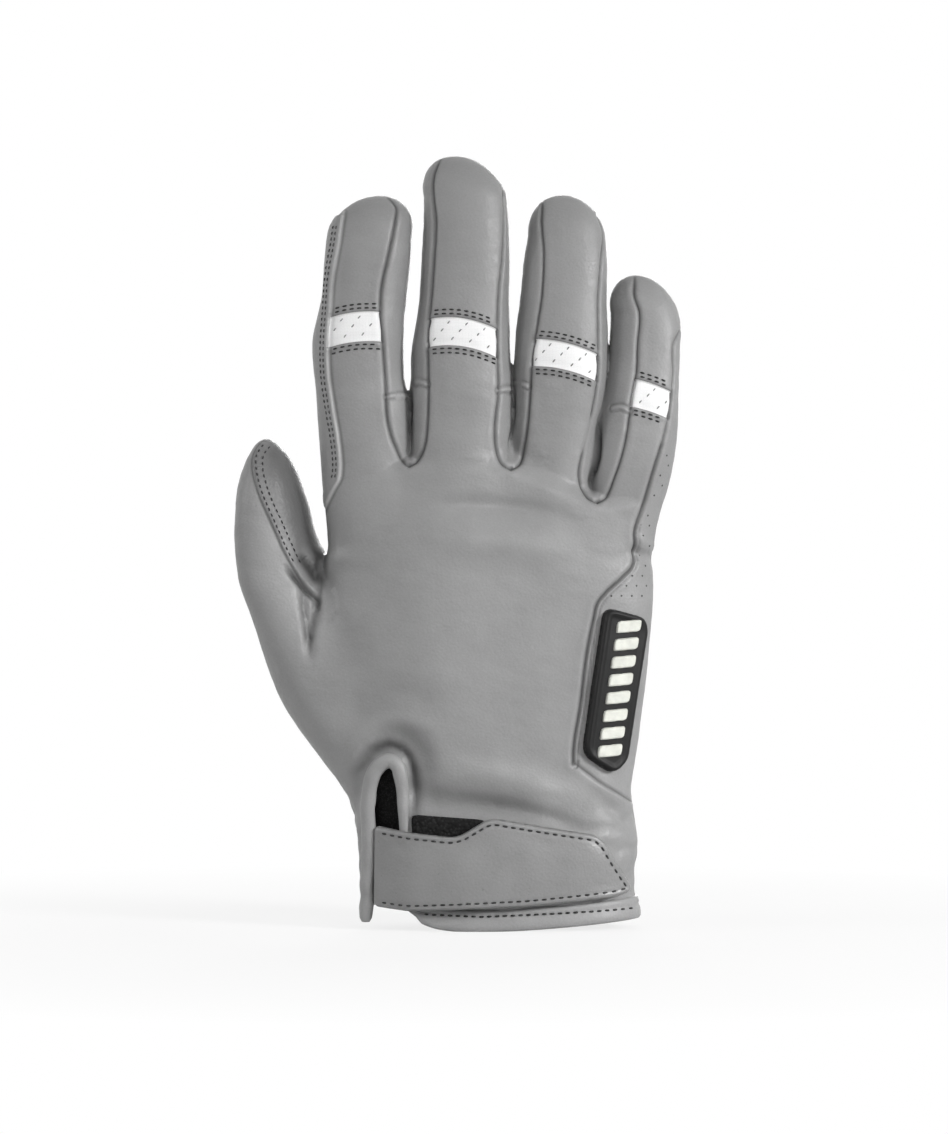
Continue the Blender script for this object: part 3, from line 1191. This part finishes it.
for part, low, high, zone in (
    ("tip", change["index"], 218, "index_end"), ("base", root["index"], change["index"] + 1.5, "index_root"),
):
    rows = rows_beside(LINES["index_left"], (-1.15, -2.1), low, high, 1.8)
    stitch("index_strip_stitches_" + part, rows, zone, material=FINE_THREAD, length=1.15, width=0.2)
rows = rows_beside(LINES["thumb_patch"], (0.9, 2.8), 111.5, 150.3, 1.9)
stitch("thumb_patch_stitches", rows, "thumb", length=1.2, width=0.21)

# Vent binding: a rolled leather edge, fullest on the thumb side, thin at the strap.
x, z = VENT_LINE.T
path = VENT_LINE[(z > 2.2) & ~((x > -20) & (z < 24))]
run = run_of(path)
end = run[-1]
roll = np.interp(run, (0, 1.2, 4, 44, 50, 58, end - 5, end), (1.4, 2.1, 2.45, 2.45, 2.4, 2.2, 1.3, 0.6))
stand = np.interp(run, (0, 40, 58, end), (1.7, 1.5, 1.0, 0.4))
spots, up = skin_at(path)
spots = spots + up * (stand + 0.1 * waves(spots, 9, 8))[:, None] + (0.35, 0, 0)
p, f = tube(spots, roll * (1 + 0.02 * waves(spots, 6, 9)), 20, 0.86, up)
make("vent_binding", p, f, ROLL_LEATHER, "grey_leather", "hand", ["vent_binding"])

# The gusset behind the vent, the loop patch on the hand, and the strap and its hook patch
# over it.
strap_outline = rounded(STRAP, 1.6)
STRAP_THICK, STRAP_SEAM = 1.9, 1.75


def strap_low(x):
    """Height of the strap's underside: it dips under the vent binding at its sewn end."""
    return 0.5 + 2.25 * ramp(x, -26, -11) + 1.1 * bell(x - 4, 13)


def hook_low(x):
    return strap_low(x) - 1.3


def strap_crown(flat, inset):
    """Height over the strap's flat top: sunk at its stitches, fuller and uneven within."""
    slack = 0.12 * waves(np.column_stack([flat, flat[:, 0]]), 16, 11)
    return 0.3 * ramp(inset, 2.5, 9) + slack * ramp(inset, 2, 5) - 0.22 * bell(inset - STRAP_SEAM, 0.5)


def on_strap(flat):
    lift = strap_low(flat[:, 0]) + STRAP_THICK + strap_crown(flat, inside_of(flat, strap_outline))
    return on_hand(*flat.T, lift)


for name, shape, *looks in (
    ("vent_gusset", (rounded(VENT_GUSSET, 2), 1.2, -4.0, 0.8, 0.6), LINING_CLOTH, "black_fabric", "hand"),
    ("loop_patch", (rounded(LOOP_PATCH, 2), 1.0, -0.2, 1.2, 0.5), LOOP_CLOTH, "black_fabric", "hand"),
    ("hook_patch", (rounded(HOOK_PATCH, 2), 1.2, hook_low, 1.2, 0.5), LOOP_CLOTH, "black_fabric", "strap"),
    ("strap", (strap_outline, 0.6, strap_low, STRAP_THICK, 0.9, strap_crown), STRAP_LEATHER, "grey_leather",
     "strap_end"),
):
    make(name, *slab(*shape), *looks, [name])
seam = dense(np.vstack([strap_outline, strap_outline[:1]]), 0.5, np.interp)
seam = dense(offset(seam, -STRAP_SEAM), 0.5, np.interp)
seam = seam[(seam[:, 0] > -23.5) & (inside_of(seam, strap_outline) > STRAP_SEAM - 0.2)]
breaks = np.flatnonzero(np.linalg.norm(np.diff(seam, axis=0), axis=1) > 3) + 1
rows = [(part, 2.5) for part in np.split(seam, breaks) if len(part) > 4]
stitch("strap_stitches", rows, "strap_end", on_strap, length=1.6, width=0.31)

# Cuff hem: a turned edge round the opening, open at the vent.
left, right, deep, _ = hand.at(2.0)
ring = np.column_stack(oval(left, right, deep, np.linspace(0, 2 * math.pi, 721)[:-1]))
opening = (ring[:, 1] < 1) & (ring[:, 0] < -14.6)
ring = dense(np.roll(ring[~opening], -opening.argmax(), axis=0), 0.8)
x, y = ring.T
# The hem's section: out from the hand, and height, about its middle height.
PROFILE = np.array([
    (-1.5, 0.5), (-1.1, 0.1), (0, -0.1), (0.9, 0.1), (1.3, 0.7), (1.35, 1.8), (1.15, 3.2), (0.7, 4.1),
    (0.62, 4.5), (0.75, 5.1), (0.55, 6.2), (0.05, 6.9), (-0.8, 6.6), (-1.5, 5),
])
HEM_MIDDLE, HEM_LIFT = 3.2, 0.12
to_end = np.minimum(np.arange(len(ring)), np.arange(len(ring))[::-1])
taper = np.sqrt(np.clip(to_end / 4, 0.02, 1))
thick = taper * np.where(y > 0, 1 - 0.5 * ramp(-x, -10, 20), 1)
uneven = 0.06 * waves(np.column_stack([ring, x]), 9, 20)
hem = np.stack([
    np.column_stack([
        offset(ring, (out * thick + uneven)[:, None]),
        rim_height(x, y) + HEM_LIFT + HEM_MIDDLE + (up - HEM_MIDDLE) * taper,
    ])
    for out, up in PROFILE
], axis=1).reshape(-1, 3)
wall = net(len(ring), len(PROFILE), True)
faces = np.vstack([wall[:, [0, 1, 2]], wall[:, [0, 2, 3]]])
make("cuff_hem", hem, faces, ROLL_LEATHER, "grey_leather", "hand", ["cuff_hem"])
xs = np.linspace(-11, 54.6, 160)
rows = [(np.column_stack([xs, np.interp(xs, (-10, 7, 55), (5.2, 4.6, 6.6))]), 2.4)]
stitch("hem_stitches", rows, "hand", lambda flat: on_hand(*flat.T, 0.7), length=1.5, width=0.31)

# Lining inside the hand, seen through the cuff and the vent.
p, quads = surface(inner_field, (-70, -20, -2), (66, 20, 124), 2.2)
p, _ = settle(inner_field, p, 2)
p, f = cut_along(p, triangles(p, quads), above_rim(p))
f, p = used_only(f[above_rim(p[f]).mean(1) > 0], p)
make("cuff_lining", p, f[:, ::-1], LINING_CLOTH, "black_fabric", "hand", ["cuff_lining"])


# Badge: a moulded pad with plain raised ribs.
def badge_crown(_, inset):
    return 0.25 * bell(inset - 1.2, 0.7) - 0.3 * ramp(inset, 1.8, 2.6)


p, f = slab(rounded(BADGE, 3.8), 0.45, -0.3, 3.3, 1.1, badge_crown)
make("badge_base", p, f, BLACK_RUBBER, "black_rubber", "hand", ["badge_base"])
RIBS, RIB_HALF, RIB_SLANT, RIB_HEIGHT = 8, 3.45, 0.9, 1.95
top, foot = np.array([(51.1, 96.4), (44.5, 52.8)])
up = unit(top - foot)
across = np.array([up[1], -up[0]])
ribs, faces, count = [], [], 0
for k in range(RIBS):
    middle = foot + (top - foot) * (k + 0.5) / RIBS + across * 0.3
    corners = [
        middle + (across * RIB_HALF + up * RIB_SLANT) * w + up * RIB_HEIGHT * h
        for w, h in ((-1, -1), (1, -1), (1, 1), (-1, 1))
    ]
    p, f = slab(rounded(corners, 1.1), 0.32, 2.4, 1.2, 0.55)
    ribs.append(p)
    faces.append(f + count)
    count += len(p)
make("badge_ribs", np.vstack(ribs), np.vstack(faces), PALE_RUBBER, "pale_rubber", "hand", ["badge_ribs"])

# Perforations in the side panel, above the badge: small dark discs on the skin.
DOT_SIDES, DOT_RADIUS, DOT_LIFT = 10, 0.33, 0.05
DOT_LEVELS, DOT_PITCH, DOT_INSET = np.arange(103, 150, 3.1), 3.2, 2.6
dots = []
for n, z in enumerate(DOT_LEVELS):
    start = seam_at("little", "right", z) + DOT_INSET + DOT_PITCH / 2 * (n % 2)
    dots += [(x, z) for x in np.arange(start, hand.at(z)[1] - 0.8, DOT_PITCH)]
dots = np.array(dots)
for name, low, high, zone in (
    ("side_perforations", 0, root["little"], "hand"),
    ("little_perforations", root["little"] + 1.5, change["little"] - 1, "little_root"),
):
    p, n = skin_at(dots[(dots[:, 1] > low) & (dots[:, 1] < high)])
    side = unit(np.cross(n, (0, 0, 1.0)))
    middles = (p + n * DOT_LIFT)[:, None]
    discs = np.concatenate([middles + spokes(DOT_SIDES, side, np.cross(side, n)) * DOT_RADIUS, middles], axis=1)
    faces = fan(DOT_SIDES) + (np.arange(len(p)) * (DOT_SIDES + 1))[:, None, None]
    make(name, discs.reshape(-1, 3), faces.reshape(-1, 3), HOLE, "grey_leather", zone)

# Small slanted slits in each flex band, in rows: share of the band's height, and start.
SLIT_ROWS, SLIT_STARTS = ((0.25, 0.0), (0.55, 2.4), (0.82, 4.4)), np.arange(-14.7, 13, 5.6)
SLIT_HALF = np.array([0.55, 0.65])
for name in NAMES:
    slits = []
    for level, start in SLIT_ROWS:
        for x in FINGERS[name]["band"][0] + start + SLIT_STARTS:
            top, bottom = band_edges(name, x)
            z = bottom + (top - bottom) * level
            if seam_at(name, "left", z) + 1 < x < seam_at(name, "right", z) - 1 and z < top - 0.9:
                slits.append((np.array([(x, z) - SLIT_HALF, (x, z) + SLIT_HALF]), 1.7))
    make(name + "_band_slits", *thread_mesh(slits, skin_at, 1.3, 0.22, 0.18), SLIT, "white_mesh", name + "_end")

# Pale floor and white surroundings. Lamps light the front from the right, the thumb side
# and the palm side.
WHITE = (1, 1, 1, 1)
bpy.ops.mesh.primitive_plane_add(size=8)
floor = bpy.context.object
floor.name = "floor"
floor.location.z = cad_low.z
ground = Paint("floor_white", Base_Color=grey(0.9), Roughness=0.9, Specular_IOR_Level=0.0)
place = ground.add("NewGeometry").outputs["Position"]
far = ground.add("VectorMath", {"operation": "LENGTH"}, i0=place).outputs["Value"]
seen = ground.add("LightPath").outputs["Is Camera Ray"]
share = ground.math("MULTIPLY", ground.span(far, 0.1, 0.3, 0.8, 1.0), seen)
ground.show("Material Output", share, ground.shader, ground.add("Emission", Color=WHITE, Strength=1.0))
floor.data.materials.append(ground.material)
floor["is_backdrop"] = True

world = bpy.data.worlds.new("white")
scene = bpy.context.scene
scene.world = world
world.use_nodes = True
sky = Nodes(world.node_tree)
rays = sky.add("LightPath").outputs
seen = sky.math("MAXIMUM", rays["Is Glossy Ray"], rays["Is Transmission Ray"])
seen = sky.math("MAXIMUM", rays["Is Camera Ray"], seen)
dim = sky.fill(sky.tree.nodes["Background"], Color=WHITE, Strength=0.3)
sky.show("World Output", seen, dim, sky.add("Background", Color=WHITE, Strength=1.0))


def place_in_scene(name, data, spot):
    obj = bpy.data.objects.new(name, data)
    bpy.context.collection.objects.link(obj)
    obj.location = spot
    return obj


def lamp(name, spot, aim, size, power, spread=180):
    light = bpy.data.lights.new(name, "AREA")
    light.shape, light.size, light.energy = "DISK", size, power
    light.spread = math.radians(spread)
    way = Vector(np.array(aim) - np.array(spot))
    place_in_scene(name, light, spot).rotation_euler = way.to_track_quat("-Z", "Y").to_euler()


lamp("key", (0.9, -0.65, 0.45), (0.04, 0, 0.06), 0.35, 0.62, 40)
lamp("front", (0.35, -1.0, 0.55), (0.03, 0, 0.07), 0.35, 0.1, 36)
lamp("rim", (-1.1, -0.3, 0.5), (-0.05, 0, 0.1), 0.4, 3)
lamp("palm", (0.1, 1.2, 0.4), (0, 0, 0.12), 0.6, 8)

# The photograph's view: HEIGHT_MM of the picture's height at the glove, from DISTANCE in
# front of AIM.
HEIGHT_MM, DISTANCE, AIM = 352.6, 1400.0, (4.66, 0, 111.9)
camera = bpy.data.cameras.new("camera")
camera.sensor_width = 36
camera.lens = camera.sensor_width * DISTANCE / HEIGHT_MM
viewer = place_in_scene("camera", camera, row(np.array(AIM) - (0, DISTANCE, 0)))
viewer.rotation_euler = (math.radians(90), 0, 0)
scene.camera = viewer
scene.view_settings.view_transform = "Standard"

low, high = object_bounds()
